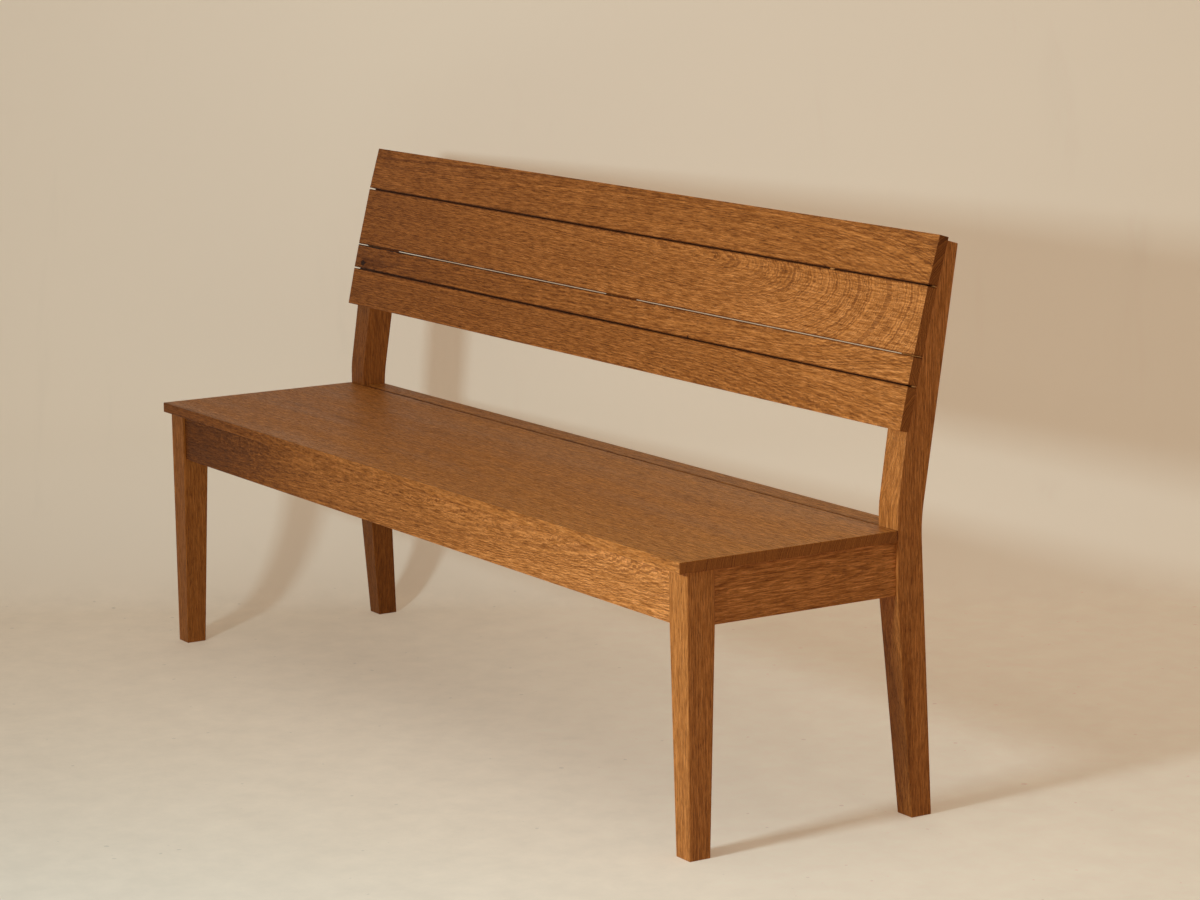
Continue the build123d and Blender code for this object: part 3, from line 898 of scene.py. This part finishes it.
def backdrop_material(sizes):
    """Pale painted board with faint smudges, clear from behind so that no view is blocked."""
    material = bpy.data.materials.new("backdrop")
    material.use_nodes = True
    tree = material.node_tree
    shader = tree.nodes["Principled BSDF"]
    place = add(tree, "ShaderNodeTexCoord").outputs["Object"]
    cloud = noise(tree, place, *PAINT_CLOUDS)
    smudge = ramp(tree, noise(tree, place, *SMUDGES), *SMUDGE_LEVELS)
    shade = scale_add(tree, cloud, *PAINT_CLOUD_SHADE)
    shade = scale_add(tree, smudge, SMUDGE_LIGHT, shade)
    across = (math.cos(VIEW_AZIMUTH), math.sin(VIEW_AZIMUTH), 0.0)
    feeds = {0: place, 1: across}
    side = add(tree, "ShaderNodeVectorMath", feeds, operation="DOT_PRODUCT").outputs[1]
    up = split(tree, place)[2]
    speck = ramp(tree, noise(tree, place, *SPECKS), *SPECK_LEVELS)
    floor_only = ramp(tree, up, 0.0, WEAR_TOP, 1.0, 0.0)
    wear = swing(tree, place, *WEAR)
    worn = scale_add(tree, wear, WEAR_LIGHT, times(tree, speck, SPECK_LIGHT))
    shade = scale_add(tree, worn, floor_only, shade)
    # Painted shade dims the backdrop round the point under the key lamp.
    from_key = vector(tree, "SUBTRACT", place, (KEY_PLACE[0], KEY_PLACE[1], 0.0))
    painted_key_shade = ramp(tree, length(tree, from_key), *KEY_SHADE_TONES)
    shade = times(tree, shade, painted_key_shade)
    # Painted shade: the backdrop darkens towards its left, most near the floor.
    painted_left_shade = ramp(tree, up, *PAINTED_LEFT_SHADES)
    rightward = ramp(tree, side, *LEFT_TO_RIGHT)
    to_right = calc(tree, "SUBTRACT", RIGHT_TONE, painted_left_shade)
    shade = times(tree, shade, scale_add(tree, to_right, rightward, painted_left_shade))
    colour = scaled(tree, tuple(sizes.floor), shade)
    tree.links.new(colour, shader.inputs["Base Color"])
    paths = add(tree, "ShaderNodeLightPath").outputs
    seen = calc(tree, "MAXIMUM", paths["Is Camera Ray"], paths["Is Glossy Ray"])
    glow = vector(tree, "MULTIPLY", colour, GLOW_TINT)
    tree.links.new(glow, shader.inputs["Emission Color"])
    tree.links.new(times(tree, seen, GLOW), shader.inputs["Emission Strength"])
    behind = add(tree, "ShaderNodeNewGeometry").outputs["Backfacing"]
    tree.links.new(calc(tree, "SUBTRACT", 1.0, behind), shader.inputs["Alpha"])
    tree.links.new(ramp(tree, cloud, *PAINT_ROUGHNESS), shader.inputs["Roughness"])
    return material


def make_lamp(context, name, place, aim, size, power, colour):
    """An area lamp at a place, aimed at a point."""
    data = bpy.data.lights.new(name, "AREA")
    data.shape = "RECTANGLE"
    data.size, data.size_y = size
    data.energy = power
    data.color = colour
    lamp = bpy.data.objects.new(name, data)
    lamp.location = place
    lamp.rotation_euler = (Vector(aim) - Vector(place)).to_track_quat("-Z", "Y").to_euler()
    lamp.visible_camera = False
    context.scene.collection.objects.link(lamp)


def make_lights(context, sizes):
    """A small soft key at the front, a wide soft lamp overhead and even room light."""
    make_lamp(context, "key", KEY_PLACE, KEY_AIM, KEY_SIZE, sizes.key_power, KEY_COLOUR)
    make_lamp(context, "top", TOP_PLACE, TOP_AIM, TOP_SIZE, sizes.top_power, TOP_COLOUR)
    world = bpy.data.worlds.new("room")
    world.use_nodes = True
    sky = world.node_tree.nodes["Background"]
    sky.inputs["Color"].default_value = ROOM_COLOUR
    sky.inputs["Strength"].default_value = sizes.sky_strength
    context.scene.world = world
    context.scene.view_settings.view_transform = "Standard"


def make_camera(context, sizes):
    """The camera at the photograph's angle."""
    data = bpy.data.cameras.new("camera")
    data.sensor_width = SENSOR_WIDTH
    data.lens = sizes.lens
    data.clip_end = CLIP_END
    camera = bpy.data.objects.new("camera", data)
    turn = (Matrix.Rotation(VIEW_AZIMUTH, 4, "Z")
            @ Matrix.Rotation(math.radians(90) - VIEW_ELEVATION, 4, "X")
            @ Matrix.Rotation(VIEW_ROLL, 4, "Z"))
    camera.matrix_world = Matrix.Translation(CAMERA_PLACE) @ turn
    context.scene.collection.objects.link(camera)
    context.scene.camera = camera


# Operators

class SETTLE_OT_effects(bpy.types.Operator):
    """Build the shader node groups that the boards share"""

    bl_idname = "settle.effects"
    bl_label = "Build effects"

    def execute(self, context):
        build_board_frame()
        build_mark()
        build_growth_rings()
        build_oak()
        return {"FINISHED"}


class SETTLE_OT_slats(bpy.types.Operator):
    """Dress the four slats of the back"""

    bl_idname = "settle.slats"
    bl_label = "Slats"

    def execute(self, context):
        dress_in_oak("back_slat_1", "back_slat_2", "back_slat_3", "back_slat_4")
        return {"FINISHED"}


class SETTLE_OT_uprights(bpy.types.Operator):
    """Dress the legs, the posts and the short upright"""

    bl_idname = "settle.uprights"
    bl_label = "Legs and posts"

    def execute(self, context):
        dress_in_oak("front_leg_left", "front_leg_right", "rear_post_left", "rear_post_right",
                     "centre_upright")
        return {"FINISHED"}


class SETTLE_OT_seat(bpy.types.Operator):
    """Dress the seat board and the strip behind it"""

    bl_idname = "settle.seat"
    bl_label = "Seat"

    def execute(self, context):
        dress_in_oak("seat_board", "seat_rear_strip")
        return {"FINISHED"}


class SETTLE_OT_rails(bpy.types.Operator):
    """Dress the rails under the seat"""

    bl_idname = "settle.rails"
    bl_label = "Rails"

    def execute(self, context):
        dress_in_oak("front_rail", "rear_rail", "side_rail_left", "side_rail_right")
        return {"FINISHED"}


class SETTLE_OT_inner(bpy.types.Operator):
    """Dress the bearers, blocks, buttons, tongues and dowels"""

    bl_idname = "settle.inner"
    bl_label = "Inner pieces"

    def execute(self, context):
        dress_in_oak("upper_slat_tongue", "lower_slat_tongue")
        dress_in_oak("seat_bearer_left", "seat_bearer_middle", "seat_bearer_right")
        dress_in_oak("corner_block_front_left", "corner_block_front_right",
                     "corner_block_rear_left", "corner_block_rear_right")
        dress_in_oak("seat_buttons", "slat_dowels", "strip_dowels")
        return {"FINISHED"}


class SETTLE_OT_screws(bpy.types.Operator):
    """Dress the wood screws under the seat"""

    bl_idname = "settle.screws"
    bl_label = "Screws"

    def execute(self, context):
        steel = steel_material()
        for node in ("corner_block_screws", "seat_button_screws", "bearer_screws"):
            dress(node, steel)
        return {"FINISHED"}


class SETTLE_OT_stage(bpy.types.Operator):
    """Set the floor, the wall, the lamps and the camera"""

    bl_idname = "settle.stage"
    bl_label = "Stage"

    def execute(self, context):
        sizes = context.scene.settle_stage
        make_backdrop(sizes)
        make_lights(context, sizes)
        make_camera(context, sizes)
        return {"FINISHED"}


class SETTLE_PT_panel(bpy.types.Panel):
    """Sizes, colours and steps of the settle"""

    bl_idname = "SETTLE_PT_panel"
    bl_label = "Mission Settle"
    bl_space_type = "VIEW_3D"
    bl_region_type = "UI"
    bl_category = "Settle"

    def draw(self, context):
        layout = self.layout
        for values in (context.scene.settle_oak, context.scene.settle_stage):
            for name in values.__annotations__:
                layout.prop(values, name)
        for step in STEPS:
            layout.operator(step.bl_idname)


STEPS = (
    SETTLE_OT_effects,
    SETTLE_OT_slats,
    SETTLE_OT_uprights,
    SETTLE_OT_seat,
    SETTLE_OT_rails,
    SETTLE_OT_inner,
    SETTLE_OT_screws,
    SETTLE_OT_stage,
)
CLASSES = (SettleOak, SettleStage, *STEPS, SETTLE_PT_panel)


def register():
    """Registers the classes and hangs their values on the scene."""
    for made in CLASSES:
        bpy.utils.register_class(made)
    bpy.types.Scene.settle_oak = bpy.props.PointerProperty(type=SettleOak)
    bpy.types.Scene.settle_stage = bpy.props.PointerProperty(type=SettleStage)


def unregister():
    """Takes the values and the classes away again."""
    del bpy.types.Scene.settle_stage
    del bpy.types.Scene.settle_oak
    for made in reversed(CLASSES):
        bpy.utils.unregister_class(made)


def main():
    """Runs every step in order."""
    register()
    for step in STEPS:
        area, name = step.bl_idname.split(".")
        getattr(getattr(bpy.ops, area), name)()


if __name__ == "__main__":
    main()
